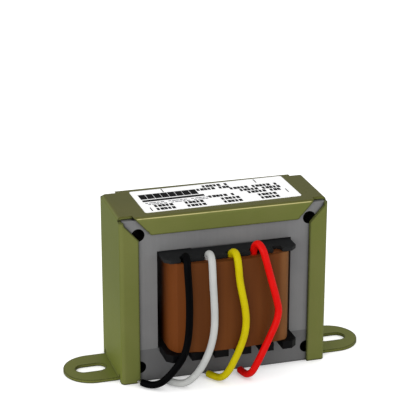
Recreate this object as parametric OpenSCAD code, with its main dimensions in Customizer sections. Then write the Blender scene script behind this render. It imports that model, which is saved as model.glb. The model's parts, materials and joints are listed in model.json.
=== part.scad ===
// Laminated chassis transformer: an E and I stack clamped by a folded mounting bracket, with a
// two-flange bobbin on the centre leg and four flying leads. Millimetres, +Z up, +X along the feet.
// The origin is on the mounting plane, at the centre of the core.

/* [Core] */
// Width of an E sheet across its three legs
core_w = 66; // [60:1:84]
// Width of the centre leg
leg_w = 22; // [18:1:26]
// Height of the yokes at the top and bottom
yoke_h = 11; // [9:1:13]
// Height of the two windows
window_h = 33; // [30:1:42]
// Width of each of the two windows
window_w = 11; // [10.5:0.5:14]
// Thickness of one sheet
sheet_t = 0.5; // [0.4:0.05:0.7]
// Number of sheet layers
sheet_count = 49; // [41:2:61]
// Diameter of the four corner holes
corner_hole_d = 4.2; // [3:0.1:5]
// Distance from a corner hole's centre to the two edges next to it
corner_hole_in = 5; // [4:0.25:5.5]

/* [Bracket] */
// Thickness of the bracket's sheet
bracket_t = 1; // [0.8:0.1:1.6]
// Gap between the stack and the bracket
bracket_fit = 0.05; // [0.02:0.01:0.2]
// Width of the front and back flanges, from the outside of the bend
rim_w = 6; // [4:0.5:7]
// Outside radius of the bends
bend_r = 1.3; // [1.1:0.1:2]
// Distance from the corner to the end of the top flange, at its bend
mitre_top = 4.6; // [3:0.2:6]
// Distance from the corner to the end of the side flange, at its bend
mitre_side = 0.8; // [0.5:0.1:2]
// Slope of the flange ends, from the plate's edge
mitre_angle = 48; // [42:1:54]
// Radius on the free corners of the top flanges
rim_corner_r = 1.2; // [0.5:0.1:2]
// Depth of the relief notch in the corners of the top plate
relief_d = 2.6; // [1.5:0.1:4]

/* [Feet] */
// Distance between the centres of the two mounting slots
slot_pitch = 82.5; // [80:0.5:90]
// Width of a mounting slot
slot_w = 5.5; // [4:0.1:6.5]
// Length of a mounting slot from end to end
slot_l = 10; // [7:0.5:12]
// Width of a foot
foot_w = 18.6; // [16:0.2:21]
// Reach of a foot past the centre of its slot
foot_reach = 8.8; // [8:0.2:10]
// Width of the notch in the side plate next to a foot
foot_notch_w = 1; // [0.6:0.1:1.6]
// Height of the notch in the side plate next to a foot
foot_notch_h = 2.2; // [1.5:0.1:3]

/* [Bobbin] */
// Gap between the bobbin and the core on each side
bobbin_fit = 0.25; // [0.1:0.05:0.4]
// Wall of the bobbin's tube
tube_wall = 1.2; // [0.8:0.1:1.6]
// Thickness of the bobbin's flanges
flange_t = 1.2; // [1:0.1:2]
// Reach of the lower flange past the front and back faces of the core
lower_reach = 9.75; // [9:0.25:10]
// Reach of the upper flange, which the leads pass, past the same faces
upper_reach = 7.75; // [7.5:0.25:10]
// Height of the feet under the front and back of the lower flange
lip_h = 1.4; // [0.5:0.1:2]
// Gap between those feet and the face of the core
lip_fit = 0.3; // [0.2:0.05:0.5]
// Cut on the corners of the flanges
flange_cut = 1.8; // [0.5:0.1:3]
// Number of lead slots along each edge
lead_slots = 5; // [5:1:5]
// Distance from the side of the coil to the centre of the outermost lead slot
lead_slot_in = 4.75; // [4.5:0.25:6]
// Width of a lead slot
lead_slot_w = 3; // [2.6:0.1:3.6]

/* [Coil] */
// Build of the primary winding
primary_build = 3; // [2.4:0.1:3.4]
// Thickness of the barrier between the windings
barrier_t = 0.25; // [0.15:0.05:0.5]
// Build of the secondary winding
secondary_build = 3.5; // [3.4:0.1:3.9]
// Thickness of the brown outer wrap
wrap_t = 0.4; // [0.2:0.05:0.6]
// Gap between one layer and the next
layer_fit = 0.05; // [0.02:0.01:0.1]
// Corner radius of the outer wrap
coil_corner_r = 7; // [5:0.5:8]
// Swell of the coil at the middle of its front and back
coil_crown = 1.1; // [0.6:0.1:1.5]
// Extra swell of the outer wrap over the lead joints
wrap_swell = 1.5; // [0:0.1:1.6]

/* [Leads] */
// Outside diameter of a lead
lead_d = 2.3; // [1.8:0.1:2.4]
// Diameter of the tinned strands at the end of a lead
strand_d = 1.1; // [0.8:0.1:1.3]
// Length of the tinned strands
strand_l = 1.5; // [1:0.1:1.7]
// Length of the sleeve over a buried joint
sleeve_l = 8; // [6:0.5:10]
// Length of lead held inside its sleeve
sleeve_grip = 2; // [1:0.5:3]
// Wall of the sleeve
sleeve_wall = 0.15; // [0.1:0.05:0.2]

/* [Label] */
// Width of the label
label_w = 51.6; // [40:0.2:54]
// Depth of the label
label_d = 19.6; // [14:0.2:21]
// Thickness of the label
label_t = 0.12; // [0.08:0.01:0.2]
// Corner radius of the label
label_r = 0.8; // [0.3:0.1:2]
// Turn of the label on the top plate, in degrees
label_turn = 2; // [-3:0.5:3]
// Place of the label's centre along the top plate
label_x = 0.8; // [-2:0.1:2]
// Place of the label's centre towards the back of the top plate
label_y = 2.2; // [-2.5:0.1:2.5]

/* [Hidden] */
$fn = 48;
// Overlap that keeps joined shapes one solid
eps = 0.01;
// Run of a cutter past the faces that it cuts
past = 1;

// Core, from the mounting plane up
stack_d = sheet_count * sheet_t;
core_h = 2 * yoke_h + window_h;
window_top = yoke_h + window_h;
hole_x = core_w / 2 - corner_hole_in;

// Bracket: outside sizes, and the inside faces of its plates
plate_in_x = core_w / 2 + bracket_fit;
plate_in_z = core_h + bracket_fit;
plate_in_y = stack_d / 2 + bracket_fit;
plate_out_x = plate_in_x + bracket_t;
plate_out_z = plate_in_z + bracket_t;
plate_out_y = plate_in_y + bracket_t;
mitre_run = rim_w / tan(mitre_angle);
relief_y = plate_out_y - relief_d;
slot_x = slot_pitch / 2;
foot_end_x = slot_x + foot_reach;

// Bobbin
tube_in_x = leg_w / 2 + bobbin_fit;
tube_in_y = stack_d / 2 + bobbin_fit;
tube_x = tube_in_x + tube_wall;
tube_y = tube_in_y + tube_wall;
bobbin_z0 = yoke_h + bobbin_fit;
bobbin_z1 = window_top - bobbin_fit;
flange_x = leg_w / 2 + window_w - 2 * bobbin_fit;
coil_z0 = bobbin_z0 + flange_t + layer_fit;
coil_z1 = bobbin_z1 - flange_t - layer_fit;

// Each layer is grown outwards from the tube; its corner and swell grow with it
primary_out = primary_build;
barrier_in = primary_out + layer_fit;
barrier_out = barrier_in + barrier_t;
secondary_in = barrier_out + layer_fit;
secondary_out = secondary_in + secondary_build;
wrap_in = secondary_out + layer_fit;
wrap_out = wrap_in + wrap_t;

// Leads: the buried ends stand in a row of holes in the secondary winding, under the slots
lead_count = 4;
sleeve_d = lead_d + 2 * sleeve_wall + 2 * layer_fit;
buried_z = 36;
joint_d = 1.4;
joint_hole_d = sleeve_d + 2 * layer_fit;
buried_y = tube_y + secondary_in + joint_hole_d / 2 + layer_fit;
sleeve_z1 = buried_z + sleeve_grip;
sleeve_z0 = sleeve_z1 - sleeve_l;

// Routes of the leads: up out of the winding, over the flange, down and back to the core's foot
route_black = [[-15, -18.5, 36], [-15, -18.5, 40], [-15, -18.6, 42.6], [-15.1, -19.8, 44.6],
    [-15.3, -21.8, 45.1], [-15.5, -23.5, 43.9], [-15.5, -24.2, 41], [-15.2, -24.3, 36],
    [-15, -24.3, 31], [-15, -24.3, 26], [-15.2, -24.2, 20.8], [-15.9, -24.1, 15.8],
    [-17.3, -23.8, 11.8], [-19.3, -22.9, 8.2], [-21.2, -21.7, 5.2], [-23.1, -20.1, 2.7],
    [-25.1, -18.4, 1.4], [-26.9, -16.9, 1.2], [-28.1, -15.4, 1.2]];
route_white = [[-7.5, -18.5, 36], [-7.5, -18.5, 40], [-7.5, -18.6, 42.5], [-7.5, -19.7, 44.4],
    [-7.5, -21.8, 44.8], [-7.6, -23.5, 43.6], [-7.6, -24.2, 40.8], [-7.4, -24.3, 36],
    [-7.1, -24.3, 31], [-6.9, -24.3, 26], [-7, -24.3, 21], [-7.8, -24.2, 16],
    [-9.2, -23.9, 11.6], [-11.1, -23.2, 7.4], [-13.2, -22.3, 4.2], [-15.2, -20.9, 2.1],
    [-17.1, -19.3, 1.3], [-18.9, -17.6, 1.2], [-20.1, -15.6, 1.2]];
route_yellow = [[0, -18.5, 36], [0, -18.5, 40], [0, -18.5, 42.4], [0.2, -19.7, 44.1],
    [0.5, -21.8, 44.6], [0.6, -23.6, 43.4], [0.8, -24.2, 40.8], [1.2, -24.3, 36.5],
    [2, -24.3, 32], [2.9, -24.3, 27.5], [3.4, -24.3, 22.5], [2.9, -24.2, 17.5],
    [1.3, -24, 12.5], [-0.3, -23.4, 8.4], [-1.5, -22.5, 5.2], [-2.7, -21, 2.7],
    [-3.8, -18.9, 1.3], [-5.2, -17, 1.2], [-6.2, -15.2, 1.2]];
route_red = [[7.5, -18.5, 36], [7.5, -18.5, 40], [7.5, -18.6, 43.4], [7.7, -19.8, 45.8],
    [8.2, -21.8, 46.6], [8.9, -23.6, 45.2], [9.6, -24.2, 42.5], [10.8, -24.3, 38],
    [12, -24.4, 33.5], [13.2, -24.4, 29], [14, -24.4, 24.8], [13.3, -24.4, 20.8],
    [11.7, -24.3, 16.8], [9.9, -24, 12.5], [8.3, -23.6, 8.6], [7.1, -22.8, 5.4],
    [6.2, -21.7, 3], [5.4, -19.6, 1.5], [4.9, -17.5, 1.2], [4.4, -15.4, 1.2]];

// Place of lead slot k along the flange's edge
function lead_slot_x(k) = (tube_x + wrap_out - lead_slot_in) * (2 * k / (lead_slots - 1) - 1);

function unit(v) = v / norm(v);

// Direction of a route at point i, the mean of the stretches on both sides of it
function heading(route, i) =
    let (last = len(route) - 1)
    unit(route[min(i + 1, last)] - route[max(i - 1, 0)]);

// Ring of points round a route at point i, in its section plane
function ring(route, i, r, sides) =
    let (along = heading(route, i),
         across = unit(cross(along, [1, 0.2, 0])),
         up = cross(along, across))
    [for (k = [0 : sides - 1])
        route[i] + r * (cos(360 * k / sides) * across + sin(360 * k / sides) * up)];

// One closed tube swept along a route
module swept_tube(route, d, sides = 8) {
    count = len(route);
    points = [for (i = [0 : count - 1]) each ring(route, i, d / 2, sides)];
    walls = [for (i = [0 : count - 2], k = [0 : sides - 1])
        let (next = (k + 1) % sides, a = i * sides, b = a + sides)
        [a + k, b + k, b + next, a + next]];
    start_cap = [for (k = [0 : sides - 1]) k];
    end_cap = [for (k = [sides - 1 : -1 : 0]) (count - 1) * sides + k];
    polyhedron(points = points, faces = concat([start_cap], walls, [end_cap]), convexity = 6);
}

module mirror_copy(axis) {
    children();
    mirror(axis) children();
}

module rounded_rect(half_x, half_y, r) {
    square([2 * half_x, 2 * (half_y - r)], center = true);
    square([2 * (half_x - r), 2 * half_y], center = true);
    for (sx = [-1, 1], sy = [-1, 1])
        translate([sx * (half_x - r), sy * (half_y - r)]) circle(r);
}

// ---- Core ----

// Sheet outlines are drawn in X and height, and stood up on edge
module sheet_layer(layer) {
    translate([0, -stack_d / 2 + (layer + 1) * sheet_t, 0])
        rotate([90, 0, 0]) linear_extrude(sheet_t) children();
}

module corner_holes(height) {
    for (side = [-1, 1]) translate([side * hole_x, height]) circle(d = corner_hole_d);
}

// E sheet with its yoke at the top
module e_outline() {
    difference() {
        translate([-core_w / 2, yoke_h]) square([core_w, core_h - yoke_h]);
        for (side = [-1, 1])
            translate([side * (leg_w + window_w) / 2 - window_w / 2, yoke_h - past])
                square([window_w, window_h + past]);
        corner_holes(core_h - corner_hole_in);
    }
}

module i_outline() {
    difference() {
        translate([-core_w / 2, 0]) square([core_w, yoke_h]);
        corner_holes(corner_hole_in);
    }
}

// The same outline turned over, end for end
module turned_over() {
    translate([0, core_h]) mirror([0, 1]) children();
}

module e_laminations_legs_down() {
    color("dimgray") for (layer = [0 : 2 : sheet_count - 1]) sheet_layer(layer) e_outline();
}

module i_laminations_bottom() {
    color("gray") for (layer = [0 : 2 : sheet_count - 1]) sheet_layer(layer) i_outline();
}

module e_laminations_legs_up() {
    color("dimgray") for (layer = [1 : 2 : sheet_count - 1])
        sheet_layer(layer) turned_over() e_outline();
}

module i_laminations_top() {
    color("gray") for (layer = [1 : 2 : sheet_count - 1])
        sheet_layer(layer) turned_over() i_outline();
}

// ---- Bracket ----

// Section across the front and back flanges, drawn in Y and height, open below
module top_plate_section() {
    difference() {
        translate([0, plate_out_z - rim_w / 2 - 2 * bend_r])
            rounded_rect(plate_out_y, rim_w / 2 + 2 * bend_r, bend_r);
        translate([-plate_in_y, 0]) square([2 * plate_in_y, plate_in_z]);
        translate([-core_w, 0]) square([2 * core_w, plate_out_z - rim_w]);
    }
}

// Section of a side plate with its two flanges, drawn in X and Y
module side_plate_section() {
    difference() {
        translate([plate_out_x - rim_w / 2 - 2 * bend_r, 0])
            rounded_rect(rim_w / 2 + 2 * bend_r, plate_out_y, bend_r);
        translate([0, -plate_in_y]) square([plate_in_x, 2 * plate_in_y]);
        translate([0, -core_w]) square([plate_out_x - rim_w, 2 * core_w]);
    }
}

// Front view of the top flange: narrower towards its free edge, with rounded corners
module top_rim_outline() {
    bend_x = plate_out_x - mitre_top;
    edge_x = bend_x - mitre_run;
    edge_z = plate_out_z - rim_w;
    corner_x = edge_x - rim_corner_r * tan((90 - mitre_angle) / 2);
    mirror_copy([1, 0]) {
        polygon([[0, edge_z + rim_corner_r], [0, plate_out_z + past], [bend_x, plate_out_z + past],
                 [bend_x, plate_out_z],
                 [edge_x + rim_corner_r / tan(mitre_angle), edge_z + rim_corner_r]]);
        translate([0, edge_z]) square([corner_x, rim_corner_r + eps]);
        intersection() {
            translate([corner_x, edge_z + rim_corner_r]) circle(rim_corner_r);
            translate([corner_x - rim_corner_r, edge_z]) square([2 * rim_corner_r, rim_corner_r + eps]);
        }
    }
}

module top_plate_with_rims() {
    intersection() {
        rotate([90, 0, 90]) translate([0, 0, -plate_out_x + mitre_top])
            linear_extrude(2 * (plate_out_x - mitre_top)) top_plate_section();
        translate([0, plate_out_y + past, 0]) rotate([90, 0, 0])
            linear_extrude(2 * (plate_out_y + past)) top_rim_outline();
    }
}

module side_plate_with_rims() {
    outer_x = plate_out_x - bend_r - eps;
    inner_x = plate_out_x - rim_w - past;
    mitre_z = plate_out_z - mitre_side;
    difference() {
        linear_extrude(plate_out_z - bend_r) side_plate_section();
        // the flanges' upper ends, cut to the mitre
        translate([0, plate_out_y + past, 0]) rotate([90, 0, 0])
            linear_extrude(2 * (plate_out_y + past)) polygon([
                [outer_x, mitre_z - bend_r * tan(mitre_angle)],
                [inner_x, mitre_z - (rim_w + past) * tan(mitre_angle)],
                [inner_x, plate_out_z + past],
                [outer_x, plate_out_z + past]]);
    }
}

// Staple-shaped strip that joins the top plate to the sides, with rounded upper bends
module staple_outline() {
    difference() {
        translate([0, plate_out_z / 2]) union() {
            rounded_rect(plate_out_x, plate_out_z / 2, bend_r);
            translate([-plate_out_x, -plate_out_z / 2]) square([2 * plate_out_x, plate_out_z / 2]);
        }
        translate([-plate_in_x, -past]) square([2 * plate_in_x, plate_in_z + past]);
    }
}

module foot() {
    difference() {
        union() {
            translate([plate_in_x + bend_r, -foot_w / 2, 0])
                cube([foot_end_x - foot_w / 2 - plate_in_x - bend_r, foot_w, bracket_t]);
            intersection() {
                translate([foot_end_x - foot_w / 2, 0, 0]) cylinder(d = foot_w, h = bracket_t, $fn = 96);
                translate([plate_in_x + bend_r, -foot_w / 2, 0]) cube([foot_w * 2, foot_w, bracket_t]);
            }
            // the bend from the side plate into the foot, with a small inside radius
            translate([0, foot_w / 2, 0]) rotate([90, 0, 0]) linear_extrude(foot_w) foot_bend_outline();
        }
        for (end = [-1, 1])
            translate([slot_x + end * (slot_l - slot_w) / 2, 0, -past])
                cylinder(d = slot_w, h = bracket_t + 2 * past);
        translate([slot_x - (slot_l - slot_w) / 2, -slot_w / 2, -past])
            cube([slot_l - slot_w, slot_w, bracket_t + 2 * past]);
    }
}

module foot_bend_outline() {
    inside_r = bend_r - bracket_t;
    difference() {
        union() {
            translate([plate_in_x + bend_r, bend_r]) circle(bend_r);
            translate([plate_in_x, bend_r]) square([bracket_t, bend_r + eps]);
            translate([plate_in_x + bend_r, 0]) square([bend_r, bracket_t]);
        }
        translate([plate_in_x + bend_r, bend_r]) circle(inside_r);
        translate([plate_in_x + bracket_t, bend_r]) square([2 * bend_r, 2 * bend_r]);
        translate([plate_in_x + bend_r, bracket_t]) square([2 * bend_r, 2 * bend_r]);
    }
}

module bracket() {
    color("olivedrab") difference() {
        union() {
            translate([0, relief_y, 0]) rotate([90, 0, 0]) linear_extrude(2 * relief_y) staple_outline();
            top_plate_with_rims();
            mirror_copy([1, 0, 0]) side_plate_with_rims();
            mirror_copy([1, 0, 0]) foot();
        }
        // under the bends into the feet, and the notches next to them
        mirror_copy([1, 0, 0]) {
            translate([0, foot_w / 2, 0]) rotate([90, 0, 0]) linear_extrude(foot_w)
                difference() {
                    translate([plate_in_x - eps, -eps]) square([bend_r + eps, bend_r + eps]);
                    translate([plate_in_x + bend_r, bend_r]) circle(bend_r);
                }
            mirror_copy([0, 1, 0])
                translate([plate_in_x - past, foot_w / 2, -past])
                    cube([bracket_t + 2 * past, foot_notch_w, foot_notch_h + past]);
        }
    }
}

// ---- Bobbin ----

module flange_outline(reach) {
    flange_y = stack_d / 2 + reach;
    difference() {
        polygon([for (p = [[1, 1], [-1, 1], [-1, -1], [1, -1]])
            each let (a = [p[0] * (flange_x - flange_cut), p[1] * flange_y],
                      b = [p[0] * flange_x, p[1] * (flange_y - flange_cut)])
                p[0] * p[1] > 0 ? [b, a] : [a, b]]);
        for (k = [0 : lead_slots - 1])
            translate([lead_slot_x(k), 0]) mirror_copy([0, 1]) {
                translate([0, buried_y]) circle(d = lead_slot_w);
                translate([-lead_slot_w / 2, buried_y]) square([lead_slot_w, flange_y - buried_y + past]);
            }
        square([2 * tube_in_x, 2 * tube_in_y], center = true);
    }
}

// Feet that stand down from the lower flange between its slots, in front of and behind the core
module flange_feet() {
    clear_y = stack_d / 2 + lip_fit;
    difference() {
        intersection() {
            flange_outline(lower_reach);
            mirror_copy([0, 1]) translate([-flange_x, clear_y]) square([2 * flange_x, lower_reach]);
        }
        for (k = [0 : lead_slots - 1])
            translate([lead_slot_x(k), 0]) square([lead_slot_w, 2 * buried_y], center = true);
    }
}

module bobbin() {
    color([0.08, 0.08, 0.09]) {
        translate([0, 0, bobbin_z0 - lip_h]) linear_extrude(lip_h + eps) flange_feet();
        translate([0, 0, bobbin_z0]) linear_extrude(flange_t) flange_outline(lower_reach);
        translate([0, 0, bobbin_z1 - flange_t]) linear_extrude(flange_t) flange_outline(upper_reach);
        translate([0, 0, bobbin_z0]) linear_extrude(bobbin_z1 - bobbin_z0) difference() {
            square([2 * tube_x, 2 * tube_y], center = true);
            square([2 * tube_in_x, 2 * tube_in_y], center = true);
        }
    }
}

// ---- Coil ----

// Outline of the coil grown outwards from the tube: flat at the sides, swollen front and back.
// More swell moves only the middle of the front and back outwards.
module coil_outline(grow, swell = 0) {
    share = grow / wrap_out;
    half_x = tube_x + grow;
    half_y = tube_y + grow + swell;
    crown = max(coil_crown * share, eps) + swell;
    arc_r = (half_x * half_x + crown * crown) / (2 * crown);
    intersection() {
        rounded_rect(half_x, half_y, max(coil_corner_r * share, eps));
        mirror_copy([0, 1]) intersection() {
            translate([0, half_y - arc_r]) circle(arc_r, $fn = 180);
            translate([-half_x, -eps]) square([2 * half_x, half_y + past]);
        }
    }
}

module coil_layer(inner, outer, swell = 0) {
    translate([0, 0, coil_z0]) linear_extrude(coil_z1 - coil_z0) difference() {
        coil_outline(outer, swell);
        if (inner > 0) coil_outline(inner);
        else square([2 * (tube_x + layer_fit), 2 * (tube_y + layer_fit)], center = true);
    }
}

module primary_winding() {
    color([0.72, 0.35, 0.12]) coil_layer(0, primary_out);
}

module winding_barrier() {
    color("khaki") coil_layer(barrier_in, barrier_out);
}

module secondary_winding() {
    color([0.78, 0.4, 0.14]) difference() {
        coil_layer(secondary_in, secondary_out);
        for (slot = [0 : lead_count - 1])
            translate([lead_slot_x(slot), -buried_y, sleeve_z0 - layer_fit])
                cylinder(d = joint_hole_d, h = coil_z1);
    }
}

module outer_wrap() {
    color([0.36, 0.19, 0.08]) coil_layer(wrap_in, wrap_out, wrap_swell);
}

// ---- Leads and their joints ----

// Stripped and tinned strands that stand out of the free end of a lead
module lead_end(route) {
    last = route[len(route) - 1];
    along = heading(route, len(route) - 1);
    color("silver") translate(last)
        rotate([0, acos(along[2]), atan2(along[1], along[0])]) cylinder(d = strand_d, h = strand_l);
}

module joint_sleeve(slot) {
    color("linen") translate([lead_slot_x(slot), -buried_y, sleeve_z0]) difference() {
        cylinder(d = sleeve_d, h = sleeve_l);
        translate([0, 0, -past]) cylinder(d = lead_d + 2 * layer_fit, h = sleeve_l + 2 * past);
    }
}

module solder_joint(slot) {
    color("silver") translate([lead_slot_x(slot), -buried_y, sleeve_z0])
        cylinder(d = joint_d, h = buried_z - sleeve_z0);
}

module lead_black() { color([0.05, 0.05, 0.05]) swept_tube(route_black, lead_d); }
module lead_white() { color("whitesmoke") swept_tube(route_white, lead_d); }
module lead_yellow() { color([0.85, 0.78, 0.05]) swept_tube(route_yellow, lead_d); }
module lead_red() { color([0.9, 0.08, 0.08]) swept_tube(route_red, lead_d); }

// ---- Label ----

module rating_label() {
    color("white") translate([label_x, label_y, plate_out_z]) rotate(label_turn)
        linear_extrude(label_t) rounded_rect(label_w / 2, label_d / 2, label_r);
}

bracket();
e_laminations_legs_down();
i_laminations_bottom();
e_laminations_legs_up();
i_laminations_top();
bobbin();
primary_winding();
winding_barrier();
secondary_winding();
outer_wrap();
lead_black();
lead_white();
lead_yellow();
lead_red();
lead_end(route_black);  // lead_end_black
lead_end(route_white);  // lead_end_white
lead_end(route_yellow);  // lead_end_yellow
lead_end(route_red);  // lead_end_red
joint_sleeve(0);  // joint_sleeve_black
joint_sleeve(1);  // joint_sleeve_white
joint_sleeve(2);  // joint_sleeve_yellow
joint_sleeve(3);  // joint_sleeve_red
solder_joint(0);  // solder_joint_black
solder_joint(1);  // solder_joint_white
solder_joint(2);  // solder_joint_yellow
solder_joint(3);  // solder_joint_red
rating_label();
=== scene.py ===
import json
import math

import bpy
from mathutils import Matrix, Vector


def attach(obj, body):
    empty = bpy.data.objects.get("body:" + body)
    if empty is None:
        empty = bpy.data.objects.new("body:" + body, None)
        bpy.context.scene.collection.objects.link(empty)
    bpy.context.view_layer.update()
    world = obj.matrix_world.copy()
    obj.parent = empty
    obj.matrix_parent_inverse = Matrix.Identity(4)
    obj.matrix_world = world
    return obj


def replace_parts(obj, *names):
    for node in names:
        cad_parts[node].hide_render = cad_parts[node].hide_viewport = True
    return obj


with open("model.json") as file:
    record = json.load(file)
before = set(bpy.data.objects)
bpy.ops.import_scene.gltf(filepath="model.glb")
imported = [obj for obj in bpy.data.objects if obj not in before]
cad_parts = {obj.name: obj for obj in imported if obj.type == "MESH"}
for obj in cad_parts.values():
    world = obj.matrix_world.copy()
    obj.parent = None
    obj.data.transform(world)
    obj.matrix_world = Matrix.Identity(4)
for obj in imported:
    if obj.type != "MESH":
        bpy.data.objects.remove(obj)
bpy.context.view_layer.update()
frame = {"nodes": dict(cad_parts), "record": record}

MM = 0.001
BODY = "root"


def box_of(name):
    """Lowest and highest corner of a CAD node."""
    node = frame["nodes"][name]
    corners = [node.matrix_world @ Vector(corner) for corner in node.bound_box]
    return Vector(map(min, zip(*corners))), Vector(map(max, zip(*corners)))


bracket_low, bracket_high = box_of("bracket")
stack_high = box_of("e_laminations_legs_down")[1]
label_low, label_high = box_of("rating_label")

# The bracket's sheet, its gap to the stack, and its outside: top, front flange and sides
PLATE_T, PLATE_GAP = 1 * MM, 0.05 * MM
TOP_Z = bracket_high.z
FRONT_Y = bracket_low.y
SIDE_X = stack_high.x + PLATE_GAP + PLATE_T
# Stack: just under its front and back faces, one sheet, and the corner holes with their radius
STACK_Y = stack_high.y - 0.05 * MM
SHEET_T = 0.5 * MM
HOLE_IN, HOLE_R = 5 * MM, 2.1 * MM
HOLE_X = stack_high.x - HOLE_IN
HOLE_LOW, HOLE_HIGH = HOLE_IN, TOP_Z - PLATE_T - PLATE_GAP - HOLE_IN


# ---------------------------------------------------------------- shader maths

def linear(r, g, b):
    """Colour written as screen values from 0 to 255, as the shader's linear RGBA."""
    def channel(v):
        v /= 255
        return v / 12.92 if v <= 0.04045 else ((v + 0.055) / 1.055) ** 2.4
    return (channel(r), channel(g), channel(b), 1.0)


class Value:
    """The output of a node, with its arithmetic written as an expression."""

    def __init__(self, graph, socket):
        self.graph = graph
        self.socket = socket

    def math(self, operation, other, turned=False):
        """One Math node on this value and another, the other first if turned."""
        values = [other, self] if turned else [self, other]
        return self.graph.node("ShaderNodeMath", values, operation=operation)

    def __add__(self, other):
        return self.math("ADD", other)

    def __sub__(self, other):
        return self.math("SUBTRACT", other)

    def __rsub__(self, other):
        return self.math("SUBTRACT", other, turned=True)

    def __mul__(self, other):
        return self.math("MULTIPLY", other)

    def __truediv__(self, other):
        return self.math("DIVIDE", other)

    def __abs__(self):
        return self.math("ABSOLUTE", 0.0)

    __radd__ = __add__
    __rmul__ = __mul__

    def inside(self, low, high, soft):
        """1 from low to high and 0 outside, fading over soft on either side of each limit."""
        return self.between(low - soft, low + soft) * (1 - self.between(high - soft, high + soft))

    def between(self, low, high):
        """0 below low, 1 above high, and smooth from one to the other."""
        return self.graph.node(
            "ShaderNodeMapRange", [self, low, high, 0.0, 1.0], interpolation_type="SMOOTHSTEP"
        )


class Graph:
    """A node tree, filled by one method."""

    def __init__(self, tree):
        self.tree = tree
        self.tree.nodes.clear()

    def node(self, kind, values=(), output=0, **settings):
        """Adds a node: its settings first, then its sockets in order or by name."""
        made = self.tree.nodes.new(kind)
        for key, setting in settings.items():
            setattr(made, key, setting)
        for key, value in values.items() if isinstance(values, dict) else enumerate(values):
            if isinstance(value, Value):
                self.tree.links.new(value.socket, made.inputs[key])
            elif isinstance(value, list):
                for one in value:
                    self.tree.links.new(one.socket, made.inputs[key])
            elif value is not None:
                made.inputs[key].default_value = value
        return Value(self, made.outputs[output]) if made.outputs else None


class Finish(Graph):
    """The node tree of one material."""

    def __init__(self, name):
        self.material = bpy.data.materials.new(name)
        self.material.use_nodes = True
        super().__init__(self.material.node_tree)
        self.place = self.node("ShaderNodeTexCoord", output="Object")

    def axis(self, name):
        """One object coordinate, in metres."""
        return self.node("ShaderNodeSeparateXYZ", [self.place], output=name)

    def stretched(self, scale):
        """Object coordinates scaled by a vector, for a grain that runs one way."""
        return self.node("ShaderNodeMapping", {"Vector": self.place, "Scale": scale})

    def noise(self, scale, detail, rough=0.5, source=None):
        """Noise from 0 to 1 on the object coordinates, or on others if given."""
        values = {"Vector": source or self.place, "Scale": scale, "Detail": detail, "Roughness": rough}
        return self.node("ShaderNodeTexNoise", values)

    def mix(self, factor, first, second):
        """Colour that goes from first to second as the factor goes from 0 to 1."""
        return self.node("ShaderNodeMix", {0: factor, 6: first, 7: second}, output=2, data_type="RGBA")

    def bump(self, height, distance, strength, normal=None):
        """Normal that shows a height as relief."""
        values = {"Height": height, "Distance": distance, "Strength": strength, "Normal": normal}
        return self.node("ShaderNodeBump", values)

    def soft_edges(self, radius):
        """Normal rounded off along sharp edges, as a deburred or moulded edge is."""
        return self.node("ShaderNodeBevel", {"Radius": radius}, samples=6)

    def edges(self, radius):
        """1 along sharp edges and 0 elsewhere."""
        flat = self.node("ShaderNodeNewGeometry", output="Normal")
        turned = self.node(
            "ShaderNodeVectorMath", [self.soft_edges(radius), flat], output="Value",
            operation="DOT_PRODUCT",
        )
        return 1 - turned.between(0.8, 0.97)

    def painted_crevice_shade(self, distance):
        """1 in corners and gaps narrower than about the distance, and 0 in the open."""
        sky = self.node("ShaderNodeAmbientOcclusion", {"Distance": distance}, output="AO", samples=8)
        return 1 - sky.between(0.35, 0.85)

    def principled(self, **sockets):
        """Ends the tree in a Principled shader with these sockets."""
        named = {key.replace("_", " "): value for key, value in sockets.items()}
        shader = self.node("ShaderNodeBsdfPrincipled", named)
        self.node("ShaderNodeOutputMaterial", {"Surface": shader})
        return self.material


# ---------------------------------------------------------------- shapes that repeat

class Shape(Graph):
    """A geometry tree with named inputs, and the plain meshes that it makes."""

    def __init__(self, name, **kinds):
        super().__init__(bpy.data.node_groups.new(name, "GeometryNodeTree"))
        self.inputs = {}
        for key, kind in {**kinds, "Material": "Material"}.items():
            socket = self.tree.interface.new_socket(key, in_out="INPUT", socket_type="NodeSocket" + kind)
            self.inputs[key] = socket.identifier
        self.tree.interface.new_socket("Geometry", in_out="OUTPUT", socket_type="NodeSocketGeometry")

    def size(self, key):
        """The tree's input of that name."""
        return self.node("NodeGroupInput", output=key)

    def end(self, geometry):
        """Ends the tree in real geometry with its material."""
        whole = self.node("GeometryNodeRealizeInstances", [geometry])
        values = {"Geometry": whole, "Material": self.size("Material")}
        self.node("NodeGroupOutput", [self.node("GeometryNodeSetMaterial", values)])

    def mesh(self, name, **sizes):
        """The plain mesh that the tree makes with these sizes."""
        blank = bpy.data.objects.new(name, bpy.data.meshes.new(name))
        bpy.context.scene.collection.objects.link(blank)
        shaping = blank.modifiers.new("shape", "NODES")
        shaping.node_group = self.tree
        for key, value in sizes.items():
            shaping[self.inputs[key]] = value
        seen = blank.evaluated_get(bpy.context.evaluated_depsgraph_get())
        mesh = bpy.data.meshes.new_from_object(seen)
        bpy.data.objects.remove(blank)
        return mesh


def add_piece(name, mesh):
    """Adds a mesh to the scene as a piece on the body."""
    piece = bpy.data.objects.new(name, mesh)
    bpy.context.scene.collection.objects.link(piece)
    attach(piece, BODY)
    return piece


# ---------------------------------------------------------------- materials

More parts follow.
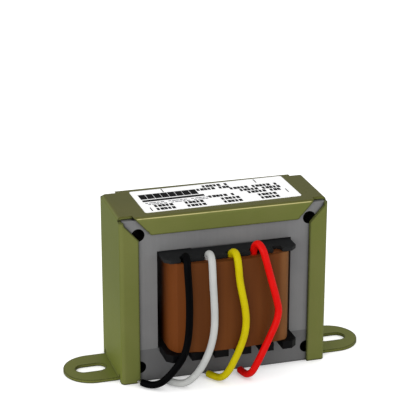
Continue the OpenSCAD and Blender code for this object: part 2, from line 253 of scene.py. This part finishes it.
def olive_plate():
    """Steel sheet with an olive chromate finish: satin, a little mottled, with painted shade on top."""
    g = Finish("olive_plate")
    along, depth, height = g.axis("X"), g.axis("Y"), g.axis("Z")
    cloud = g.noise(55, 4, 0.55)
    patch = g.noise(16, 2, 0.5)
    grain = g.noise(900, 2, 0.6, g.stretched((0.08, 1, 1)))
    fine = g.noise(2600, 2, 0.6)
    tone = g.mix(cloud.between(0.35, 0.7), linear(104, 110, 53), linear(109, 113, 59))
    tone = g.mix(patch.between(0.56, 0.74) * 0.45, tone, linear(109, 106, 51))
    # painted light and shade: the sides are painted darker towards the top and paler low down, and the
    # feet paler
    side_painted_light_mask = abs(along).between(SIDE_X - 0.2 * MM, SIDE_X - 0.05 * MM)
    side = g.mix(height.between(4 * MM, 0.7 * TOP_Z), linear(113, 121, 50), linear(97, 105, 38))
    tone = g.mix(side_painted_light_mask * 0.9, tone, side)
    foot_painted_light_mask = abs(along).between(SIDE_X + 2 * MM, SIDE_X + 4 * MM)
    tone = g.mix(foot_painted_light_mask, tone, g.mix(cloud, linear(108, 113, 50), linear(115, 119, 57)))
    # painted shade: the top is painted darker and browner than the front
    on_top = height.between(TOP_Z - 0.5 * MM, TOP_Z - 0.1 * MM)
    tone = g.mix(on_top, tone, g.mix(cloud.between(0.35, 0.7), linear(90, 90, 42), linear(96, 95, 47)))
    # painted highlight: a pale line along the outside of the front bend, broken up by noise
    highlight_breakup = g.noise(420, 3, 0.6, g.stretched((0.3, 1, 1)))
    bend = depth.inside(FRONT_Y + 0.16 * MM, FRONT_Y + 0.36 * MM, 0.08 * MM)
    bend = bend * height.between(TOP_Z - 0.75 * MM, TOP_Z - 0.5 * MM)
    bend_painted_highlight = bend * along.inside(-28.4 * MM, 28.4 * MM, 0.5 * MM) * highlight_breakup.between(0.2, 0.5)
    tone = g.mix(bend_painted_highlight, tone, linear(206, 196, 136))
    # painted shade: dark lines along the sharp sheet edges, and darker corners and gaps
    tone = g.mix(g.edges(1.1 * MM) * (1 - on_top) * 0.85, tone, linear(50, 52, 26))
    tone = g.mix(g.painted_crevice_shade(1 * MM) * 0.85, tone, linear(24, 24, 14))
    return g.principled(
        Base_Color=tone,
        Metallic=0.15,
        Roughness=0.5 + 0.1 * cloud + 0.05 * grain,
        Specular_IOR_Level=0.15,
        Normal=g.bump(grain * 0.5 + fine * 0.5, 0.00002, 0.35, g.soft_edges(0.25 * MM)),
    )


def core_sheet(name, tone_a, tone_b):
    """Silicon steel sheet under a thin varnish: rolling lines, faint clouds and a dull sheen."""
    g = Finish(name)
    side, depth, height = g.axis("X"), g.axis("Y"), g.axis("Z")
    cloud = g.noise(70, 3, 0.5)
    lines = g.noise(1500, 2, 0.55, g.stretched((1, 1, 0.03)))
    fine = g.noise(3200, 2, 0.6)
    tone = g.mix(cloud.between(0.3, 0.72), tone_a, tone_b)
    tone = g.mix(lines * 0.2, tone, linear(92, 93, 94))
    # cut edges of the sheets, one against another through the stack
    sheet = (depth / SHEET_T).math("FRACT", 0.0)
    cut = sheet.inside(0.4, 0.6, 0.08) * depth.inside(-STACK_Y, STACK_Y, 0.02 * MM)
    tone = g.mix(cut * 0.6, tone, linear(52, 52, 52))
    # painted shade: the bores of the corner holes are painted near black
    across = abs(side) - HOLE_X
    up = height - HOLE_HIGH * height.between(0.5 * HOLE_HIGH, 0.51 * HOLE_HIGH)
    up = up - HOLE_LOW * (1 - height.between(0.5 * HOLE_HIGH, 0.51 * HOLE_HIGH))
    reach = across * across + up * up
    bore_painted_shade = 1 - reach.between(HOLE_R ** 2, (HOLE_R + 0.02 * MM) ** 2)
    bore_painted_shade = bore_painted_shade * depth.inside(-STACK_Y, STACK_Y, 0.02 * MM)
    # painted shade where the bracket and the bobbin meet the sheets
    tone = g.mix(g.painted_crevice_shade(1.1 * MM) * 0.9, tone, linear(34, 34, 32))
    return g.principled(
        Base_Color=g.mix(bore_painted_shade, tone, linear(5, 5, 5)),
        Metallic=0.1,
        Roughness=0.5 + 0.1 * cloud + 0.06 * lines,
        Specular_IOR_Level=0.15,
        Normal=g.bump(lines * 0.6 + fine * 0.4, 0.000015, 0.4),
    )


def bobbin_plastic():
    """Black moulded nylon with a fine spark-eroded grain; the lower flange is painted near black as
    shade.
    """
    g = Finish("bobbin_plastic")
    cloud = g.noise(90, 3)
    grain = g.noise(2400, 2, 0.6)
    # painted shade: the lower flange is painted near black
    low = 1 - g.axis("Z").between(13 * MM, 16 * MM)
    return g.principled(
        Base_Color=g.mix(low, g.mix(cloud, linear(27, 28, 29), linear(34, 35, 36)), linear(3, 3, 4)),
        Roughness=0.48 + 0.14 * cloud,
        Specular_IOR_Level=0.1,
        Normal=g.bump(grain, 0.00003, 0.4, g.soft_edges(0.25 * MM)),
    )


def brown_wrap():
    """Brown varnished wrap: broad upright folds, with painted shade where it goes into the core's
    windows.
    """
    g = Finish("brown_wrap")
    across, depth = g.axis("X"), g.axis("Y")
    folds = g.noise(260, 3, 0.55, g.stretched((1, 1, 0.02)))
    cloud = g.noise(120, 3, 0.5)
    weave = g.noise(1900, 2, 0.6, g.stretched((1, 1, 0.25)))
    # painted shade where the wrap runs into the core's windows
    shade = 1 - abs(depth).between(6.5 * MM, 17 * MM)
    # painted light: the fold at the left corner is painted warmer and the one at the right paler, where
    # light catches them
    left_painted_light = 1 - across.between(-14.6 * MM, -14 * MM)
    right_painted_highlight = across.between(14.5 * MM, 17 * MM)
    tone = g.mix(folds.between(0.3, 0.75), linear(93, 49, 16), linear(103, 56, 20))
    tone = g.mix(left_painted_light, tone, linear(106, 54, 15))
    tone = g.mix(right_painted_highlight * 0.7, tone, linear(132, 90, 52))
    tone = g.mix(cloud * 0.18, tone, linear(72, 36, 10))
    # the last turn of the wrap ends on the back
    seam = across.inside(9 * MM, 9.15 * MM, 0.05 * MM) * depth.between(12 * MM, 13 * MM)
    tone = g.mix(seam * 0.7, tone, linear(48, 22, 6))
    return g.principled(
        Base_Color=g.mix(shade, tone, linear(40, 12, 2)),
        Roughness=0.5 + 0.12 * cloud,
        Specular_IOR_Level=0.1,
        Normal=g.bump(folds * 0.7 + weave * 0.3, 0.00008, 0.35),
    )


def wire_turns():
    """Enamelled copper wire, one turn above another."""
    g = Finish("wire_turns")
    turns = g.node(
        "ShaderNodeTexWave", {"Vector": g.place, "Scale": 320.0}, output=1,
        wave_type="BANDS", bands_direction="Z",
    )
    return g.principled(
        Base_Color=g.mix(turns, linear(108, 48, 16), linear(196, 110, 52)),
        Metallic=0.7,
        Roughness=0.3,
        Normal=g.bump(turns, 0.00008, 0.8),
    )


def plain_sheet(name, tone_a, tone_b, rough, painted_glow=0.0):
    """Thin film, paper or sleeving with a faint fibre; a painted glow, where given, makes it brighter.
    """
    g = Finish(name)
    fibre = g.noise(900, 3, 0.6)
    return g.principled(
        Base_Color=g.mix(fibre, tone_a, tone_b),
        Roughness=rough + 0.1 * fibre,
        Emission_Color=(1, 1, 1, 1),
        Emission_Strength=painted_glow,
        Normal=g.bump(fibre, 0.00002, 0.4),
    )


def lead_plastic(name, tone_a, tone_b, rough=0.36, shine=0.1):
    """Extruded insulation: a soft gloss, slight waviness and a little dust."""
    g = Finish(name)
    cloud = g.noise(160, 3, 0.5)
    fine = g.noise(1800, 2, 0.5)
    return g.principled(
        Base_Color=g.mix(cloud.between(0.3, 0.7), tone_a, tone_b),
        Roughness=rough + 0.1 * cloud,
        Specular_IOR_Level=shine,
        Normal=g.bump(cloud * 0.6 + fine * 0.4, 0.00004, 0.35),
    )


def tinned():
    """Tinned copper or solder."""
    g = Finish("tinned")
    cloud = g.noise(700, 3)
    return g.principled(
        Base_Color=g.mix(cloud, linear(128, 126, 120), linear(168, 166, 160)),
        Metallic=0.9,
        Roughness=0.28 + 0.2 * cloud,
        Normal=g.bump(cloud, 0.00003, 0.5),
    )


def ink(name, tone):
    """Printing ink, worn a little thin in specks."""
    g = Finish(name)
    wear = g.noise(2400, 2, 0.6)
    return g.principled(
        Base_Color=g.mix(wear * 0.12, tone, linear(90, 90, 90)),
        Roughness=0.5 + 0.1 * wear,
        Specular_IOR_Level=0.02,
    )


LOOKS = {
    "bracket_plate": olive_plate(),
    "lamination": core_sheet("lamination", linear(122, 122, 123), linear(130, 130, 130)),
    "lamination_bar": core_sheet("lamination_bar", linear(100, 100, 101), linear(107, 107, 107)),
    "bobbin_plastic": bobbin_plastic(),
    "enamelled_wire": wire_turns(),
    "barrier_film": plain_sheet("barrier_film", linear(214, 196, 140), linear(226, 210, 160), 0.35),
    "wrap_tape": brown_wrap(),
    "pvc_black": lead_plastic("pvc_black", linear(1, 1, 2), linear(4, 4, 5), 0.45, 0.03),
    "pvc_white": lead_plastic("pvc_white", linear(184, 186, 184), linear(192, 193, 190)),
    "pvc_yellow": lead_plastic("pvc_yellow", linear(192, 176, 0), linear(198, 184, 2)),
    "pvc_red": lead_plastic("pvc_red", linear(212, 9, 5), linear(219, 13, 9)),
    "tinned_copper": tinned(),
    "sleeving": plain_sheet("sleeving", linear(214, 206, 184), linear(228, 220, 200), 0.6),
    # painted light: the label film glows a little
    "label_film": plain_sheet("label_film", linear(248, 248, 248), linear(254, 254, 254), 0.5, 0.2),
}


def dress_nodes():
    """Gives every CAD node the material of its slot."""
    for part in frame["record"]["subparts"]:
        node = frame["nodes"][part["node"]]
        look = LOOKS[part["material_slot"]]
        node.data.materials.clear()
        node.data.materials.append(look)


# ---------------------------------------------------------------- leads

LEAD_D = 2.3 * MM
LEAD_FINENESS = 8
# Routes of the leads, in millimetres: up out of the winding, over the flange and down to the core's foot
ROUTES = {
    "black": [
        (-15, -18.5, 36), (-15, -18.5, 40), (-15, -18.6, 42.6), (-15.1, -19.8, 44.6),
        (-15.3, -21.8, 45.1), (-15.5, -23.5, 43.9), (-15.5, -24.2, 41), (-15.2, -24.3, 36),
        (-15, -24.3, 31), (-15, -24.3, 26), (-15.2, -24.2, 20.8), (-15.9, -24.1, 15.8),
        (-17.3, -23.8, 11.8), (-19.3, -22.9, 8.2), (-21.2, -21.7, 5.2), (-23.1, -20.1, 2.7),
        (-25.1, -18.4, 1.4), (-26.9, -16.9, 1.2), (-28.1, -15.4, 1.2),
    ],
    "white": [
        (-7.5, -18.5, 36), (-7.5, -18.5, 40), (-7.5, -18.6, 42.5), (-7.5, -19.7, 44.4),
        (-7.5, -21.8, 44.8), (-7.6, -23.5, 43.6), (-7.6, -24.2, 40.8), (-7.4, -24.3, 36),
        (-7.1, -24.3, 31), (-6.9, -24.3, 26), (-7, -24.3, 21), (-7.8, -24.2, 16),
        (-9.2, -23.9, 11.6), (-11.1, -23.2, 7.4), (-13.2, -22.3, 4.2), (-15.2, -20.9, 2.1),
        (-17.1, -19.3, 1.3), (-18.9, -17.6, 1.2), (-20.1, -15.6, 1.2),
    ],
    "yellow": [
        (0, -18.5, 36), (0, -18.5, 40), (0, -18.5, 42.4), (0.2, -19.7, 44.1),
        (0.5, -21.8, 44.6), (0.6, -23.6, 43.4), (0.8, -24.2, 40.8), (1.2, -24.3, 36.5),
        (2, -24.3, 32), (2.9, -24.3, 27.5), (3.4, -24.3, 22.5), (2.9, -24.2, 17.5),
        (1.3, -24, 12.5), (-0.3, -23.4, 8.4), (-1.5, -22.5, 5.2), (-2.7, -21, 2.7),
        (-3.8, -18.9, 1.3), (-5.2, -17, 1.2), (-6.2, -15.2, 1.2),
    ],
    "red": [
        (7.5, -18.5, 36), (7.5, -18.5, 40), (7.5, -18.6, 43.4), (7.7, -19.8, 45.8),
        (8.2, -21.8, 46.6), (8.9, -23.6, 45.2), (9.6, -24.2, 42.5), (10.8, -24.3, 38),
        (12, -24.4, 33.5), (13.2, -24.4, 29), (14, -24.4, 24.8), (13.3, -24.4, 20.8),
        (11.7, -24.3, 16.8), (9.9, -24, 12.5), (8.3, -23.6, 8.6), (7.1, -22.8, 5.4),
        (6.2, -21.7, 3), (5.4, -19.6, 1.5), (4.9, -17.5, 1.2), (4.4, -15.4, 1.2),
    ],
}
STEPS_PER_SPAN = 6
# Bare end of a lead: one strand in the middle and the others twisted round it
STRANDS_ROUND, STRAND_R, STRAND_L = 6, 0.18 * MM, 1.5 * MM
STRAND_TWIST = 0.4 * math.tau
STRAND_POINTS, STRAND_SIDES = 9, 10


def smooth_line(points, steps):
    """Points along a smooth curve through the given ones, closer together."""
    points = [Vector(p) * MM for p in points]
    padded = [2 * points[0] - points[1], *points, 2 * points[-1] - points[-2]]
    line = []
    for a, b, c, d in zip(padded, padded[1:], padded[2:], padded[3:]):
        for step in range(steps):
            t = step / steps
            line.append(
                0.5 * (2 * b + (c - a) * t + (2 * a - 5 * b + 4 * c - d) * t ** 2
                       + (3 * b - a - 3 * c + d) * t ** 3)
            )
    return [*line, points[-1]]


def length_of(line):
    """Length along a line of points."""
    return sum((b - a).length for a, b in zip(line, line[1:]))


def lead_curve(name, line):
    """Round curve along a line of points, closed at its ends."""
    data = bpy.data.curves.new(name, "CURVE")
    data.dimensions = "3D"
    data.bevel_depth = LEAD_D / 2
    data.bevel_resolution = LEAD_FINENESS
    data.use_fill_caps = True
    spline = data.splines.new("POLY")
    spline.points.add(len(line) - 1)
    for point, place in zip(spline.points, line):
        point.co = (*place, 1)
    piece = bpy.data.objects.new(name, data)
    bpy.context.scene.collection.objects.link(piece)
    return piece


def strand_bundle():
    """Tree for straight strands twisted round one in the middle, upright from the origin."""
    t = Shape("strand_bundle", Round="Int", Radius="Float", Length="Float", Twist="Float")
    radius, length = t.size("Radius"), t.size("Length")
    tip = t.node("ShaderNodeCombineXYZ", [0.0, 0.0, length])
    straight = t.node("GeometryNodeCurvePrimitiveLine", {"End": tip})
    straight = t.node("GeometryNodeResampleCurve", {"Curve": straight, "Count": STRAND_POINTS})
    ring = t.node("GeometryNodeMeshCircle", {"Vertices": t.size("Round"), "Radius": radius * 2})
    outer = t.node("GeometryNodeInstanceOnPoints", {"Points": ring, "Instance": straight})
    outer = t.node("GeometryNodeRealizeInstances", [outer])
    spot = t.node("GeometryNodeInputPosition")
    up = t.node("ShaderNodeSeparateXYZ", [spot], output="Z")
    turn = up / length * t.size("Twist")
    twisted = t.node("ShaderNodeVectorRotate", {"Vector": spot, "Angle": turn})
    outer = t.node("GeometryNodeSetPosition", {"Geometry": outer, "Position": twisted})
    strands = t.node("GeometryNodeJoinGeometry", [[outer, straight]])
    values = {"Resolution": STRAND_SIDES, "Radius": radius}
    section = t.node("GeometryNodeCurvePrimitiveCircle", values)
    values = {"Curve": strands, "Profile Curve": section, "Fill Caps": True}
    t.end(t.node("GeometryNodeCurveToMesh", values))
    return t


def make_strands(tree, colour, line):
    """Bare end of a lead, in line with the lead's last stretch."""
    mesh = tree.mesh(
        f"{colour}_strands", Round=STRANDS_ROUND, Radius=STRAND_R, Length=STRAND_L,
        Twist=STRAND_TWIST, Material=LOOKS["tinned_copper"],
    )
    along = (line[-1] - line[-2]).to_track_quat("Z", "Y").to_matrix().to_4x4()
    mesh.transform(Matrix.Translation(line[-1]) @ along)
    strands = add_piece(f"{colour}_strands", mesh)
    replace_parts(strands, f"lead_end_{colour}")
    return strands


def make_leads():
    """The four leads, each with its bare end, along the routes of the solids."""
    tree = strand_bundle()
    for colour, route in ROUTES.items():
        line = smooth_line(route, STEPS_PER_SPAN)
        lead = lead_curve(f"{colour}_lead", line)
        lead.data.materials.append(LOOKS[f"pvc_{colour}"])
        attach(lead, BODY)
        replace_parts(lead, f"lead_{colour}")
        strands = make_strands(tree, colour, line)
        length_of(line)


# ---------------------------------------------------------------- label and its print

# Where the solid lies, by the middle of its upper face, and how far forward and how straight
# the label is stuck here, so that the plate shows evenly behind it
SOLID_CENTRE = Vector(((label_low.x + label_high.x) / 2, (label_low.y + label_high.y) / 2, label_high.z))
SOLID_TURN = math.radians(2)
LABEL_FORWARD = 1.4 * MM
LABEL_CENTRE = SOLID_CENTRE - Vector((0, LABEL_FORWARD, 0))
LABEL_TURN = math.radians(1.2)
INK_T = 0.02 * MM
# Rows of short printed marks in the label's own frame, in millimetres: left end, line, number of marks
MARK_ROWS = [
    (-2, 7.6, 7), (-4.6, 5.1, 9), (6, 3.2, 13), (8.6, 0.7, 11), (10.4, -1.8, 9), (-2.8, -2, 7),
    *[(left, line, 6) for left in (-21.6, -11.6, 0.4, 12.8) for line in (-5, -7.8)],
]
FINE_ROWS = [(-23.6, -1.9, 20), (-23, -3.2, 16)]
# Marks of three widths, with every sixth left out, and their heights, in millimetres
MARK_STEP, MARK_W, MARK_SPREAD, MARKS_PER_WORD = 1.25, 0.9, 0.12, 6
MARK_H, FINE_H = 2.05, 0.7
# Header of wide blocks: left end, line, number, step, width and height
HEADER = (-24, 3.8, 8, 2.4, 2.28, 4.4)
# Single bars: left end, lower edge, width and height
UNDERLINE = (-24, -0.7, 20.4, 1.7)
RULES = [(-15.4, 6.4, 0.35, 3.2), (15.8, 6, 0.35, 3.2), (-23.4, -9, 0.35, 3.2), (22.8, -5.4, 0.35, 3.2)]


def make_label():
    """The solid's label, stuck a little nearer the front bend and squarer to it."""
    turn = Matrix.Rotation(LABEL_TURN - SOLID_TURN, 4, "Z")
    mesh = frame["nodes"]["rating_label"].data.copy()
    mesh.transform(Matrix.Translation(LABEL_CENTRE) @ turn @ Matrix.Translation(-SOLID_CENTRE))
    mesh.materials.clear()
    mesh.materials.append(LOOKS["label_film"])
    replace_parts(add_piece("label", mesh), "rating_label")


def slab_row(t, left, line, count, step, slab, **more):
    """Copies of a slab that starts at the origin, set out along a row."""
    values = {"Count": count, "Start Location": (left * MM, line * MM, 0), "Offset": (step * MM, 0, 0)}
    points = t.node("GeometryNodeMeshLine", values)
    return t.node("GeometryNodeInstanceOnPoints", {"Points": points, "Instance": slab, **more})


def ink_slab(t, wide, tall):
    """A slab of ink from the origin to the right, half above the line and half below it."""
    size = t.node("ShaderNodeCombineXYZ", [wide * MM, tall, t.size("Thickness")])
    slab = t.node("GeometryNodeMeshCube", {"Size": size})
    return t.node("GeometryNodeTransform", {"Geometry": slab, "Translation": (wide * MM / 2, 0, 0)})


def mark_rows(t, rows):
    """Rows of marks in words, each mark one of three widths."""
    number = t.node("GeometryNodeInputIndex")
    width = (number * 5).math("MODULO", 3.0) * (MARK_SPREAD / MARK_W) + 1
    shown = number.math("MODULO", float(MARKS_PER_WORD)).math("LESS_THAN", MARKS_PER_WORD - 1.5)
    stretch = t.node("ShaderNodeCombineXYZ", [width, 1.0, 1.0])
    slab = ink_slab(t, MARK_W, t.size("Height"))
    return [slab_row(t, *row, MARK_STEP, slab, Selection=shown, Scale=stretch) for row in rows]


def make_print(name, look, rows, height, header=None, bars=()):
    """One piece of printing on the label: rows of marks, with a header and single bars if given."""
    t = Shape(name, Height="Float", Thickness="Float")
    parts = mark_rows(t, rows)
    if header:
        left, line, count, step, wide, tall = header
        parts.append(slab_row(t, left, line, count, step, ink_slab(t, wide, tall * MM)))
    for left, low, wide, tall in bars:
        parts.append(slab_row(t, left, low + tall / 2, 1, 0, ink_slab(t, wide, tall * MM)))
    t.end(t.node("GeometryNodeJoinGeometry", [parts]))
    mesh = t.mesh(name, Height=height * MM, Thickness=INK_T, Material=look)
    mesh.transform(Matrix.Translation(LABEL_CENTRE) @ Matrix.Rotation(LABEL_TURN, 4, "Z"))
    add_piece(name, mesh)


# ---------------------------------------------------------------- stage, lights and camera

FLOOR_REACH = 6.0
FLOOR_DROP = 0.05 * MM
# Light that the floor gives the camera, how much less of it close to the object as a painted shadow, and
# how close
FLOOR_LIFT, FLOOR_PAINTED_SHADOW, FLOOR_NEAR = 0.58, 0.3, 7 * MM
SKY_STRENGTH = 0.75
# Lamps: place, size and power, all aimed at the middle of the core
LAMPS = {
    "key": ((-0.6, -0.75, 0.2), 0.6, 3.6),
    "fill": ((0.75, -0.6, 0.2), 0.6, 1.6),
    "low": ((-0.8, -0.05, 0.05), 0.5, 1.2),
}
CORE_MIDDLE = Vector((0, 0, TOP_Z / 2))
CAMERA_PLACE = Vector((-139.93, -457.4, 230.89)) * MM
CAMERA_YAW, CAMERA_PITCH, CAMERA_ROLL = math.radians(16.88), math.radians(20.61), math.radians(0.16)
CAMERA_LENS, CAMERA_SENSOR = 137.33, 36
CAMERA_CLIP = (0.05, 20)


def add_stage():
    """Pale floor, lifted a little where the camera sees it, so that only the near shadow shows, with a
    painted shadow close to the object.
    """
    mesh = bpy.data.meshes.new("floor")
    corners = [(x * FLOOR_REACH, y * FLOOR_REACH, 0) for x, y in ((-1, -1), (1, -1), (1, 1), (-1, 1))]
    mesh.from_pydata(corners, [], [(0, 1, 2, 3)])
    floor = bpy.data.objects.new("floor", mesh)
    floor.location.z = -FLOOR_DROP
    bpy.context.scene.collection.objects.link(floor)
    g = Finish("floor")
    seen = g.node("ShaderNodeLightPath", output="Is Camera Ray")
    paper = g.node("ShaderNodeBsdfDiffuse", [linear(236, 236, 236)])
    # painted shadow: the floor gives the camera less light in the corners next to the object
    near_painted_shadow = g.painted_crevice_shade(FLOOR_NEAR)
    lift = seen * (FLOOR_LIFT - FLOOR_PAINTED_SHADOW * near_painted_shadow)
    white = g.node("ShaderNodeEmission", [(1, 1, 1, 1), lift])
    surface = g.node("ShaderNodeAddShader", [paper, white])
    g.node("ShaderNodeOutputMaterial", {"Surface": surface})
    mesh.materials.append(g.material)


def add_world():
    """Even white light, and pure white where the camera sees past the floor."""
    world = bpy.data.worlds.new("studio")
    bpy.context.scene.world = world
    world.use_nodes = True
    sky = Graph(world.node_tree)
    seen = sky.node("ShaderNodeLightPath", output="Is Camera Ray")
    light = sky.node("ShaderNodeBackground", {"Color": (1, 1, 1, 1), "Strength": SKY_STRENGTH})
    white = sky.node("ShaderNodeBackground", {"Color": (1, 1, 1, 1)})
    sky.node("ShaderNodeOutputWorld", [sky.node("ShaderNodeMixShader", [seen, light, white])])


def add_lamp(name, place, size, power):
    """Square soft lamp aimed at the middle of the core."""
    data = bpy.data.lights.new(name, "AREA")
    data.energy = power
    data.size = size
    lamp = bpy.data.objects.new(name, data)
    lamp.location = place
    lamp.rotation_euler = (CORE_MIDDLE - Vector(place)).to_track_quat("-Z", "Y").to_euler()
    bpy.context.scene.collection.objects.link(lamp)


def add_camera():
    """Camera aimed by its yaw from +Y to the right, its pitch down and its roll."""
    forward = Vector((
        math.sin(CAMERA_YAW) * math.cos(CAMERA_PITCH),
        math.cos(CAMERA_YAW) * math.cos(CAMERA_PITCH),
        -math.sin(CAMERA_PITCH),
    ))
    level = Vector((math.cos(CAMERA_YAW), -math.sin(CAMERA_YAW), 0))
    above = level.cross(forward)
    right = math.cos(CAMERA_ROLL) * level + math.sin(CAMERA_ROLL) * above
    up = math.cos(CAMERA_ROLL) * above - math.sin(CAMERA_ROLL) * level
    data = bpy.data.cameras.new("camera")
    data.lens = CAMERA_LENS
    data.sensor_width = CAMERA_SENSOR
    data.clip_start, data.clip_end = CAMERA_CLIP
    camera = bpy.data.objects.new("camera", data)
    turned = Matrix((right, up, -forward)).transposed().to_4x4()
    camera.matrix_world = Matrix.Translation(CAMERA_PLACE) @ turned
    bpy.context.scene.collection.objects.link(camera)
    bpy.context.scene.camera = camera


bpy.context.scene.view_settings.view_transform = "Standard"
add_camera()
add_world()
add_stage()
for lamp_name, (lamp_place, lamp_size, lamp_power) in LAMPS.items():
    add_lamp(lamp_name, lamp_place, lamp_size, lamp_power)
dress_nodes()
make_leads()
make_label()
make_print(
    "label_print", ink("label_ink", linear(3, 3, 5)), MARK_ROWS, MARK_H,
    header=HEADER, bars=[UNDERLINE, *RULES],
)
make_print("label_fine_print", ink("label_grey_ink", linear(120, 120, 126)), FINE_ROWS, FINE_H)
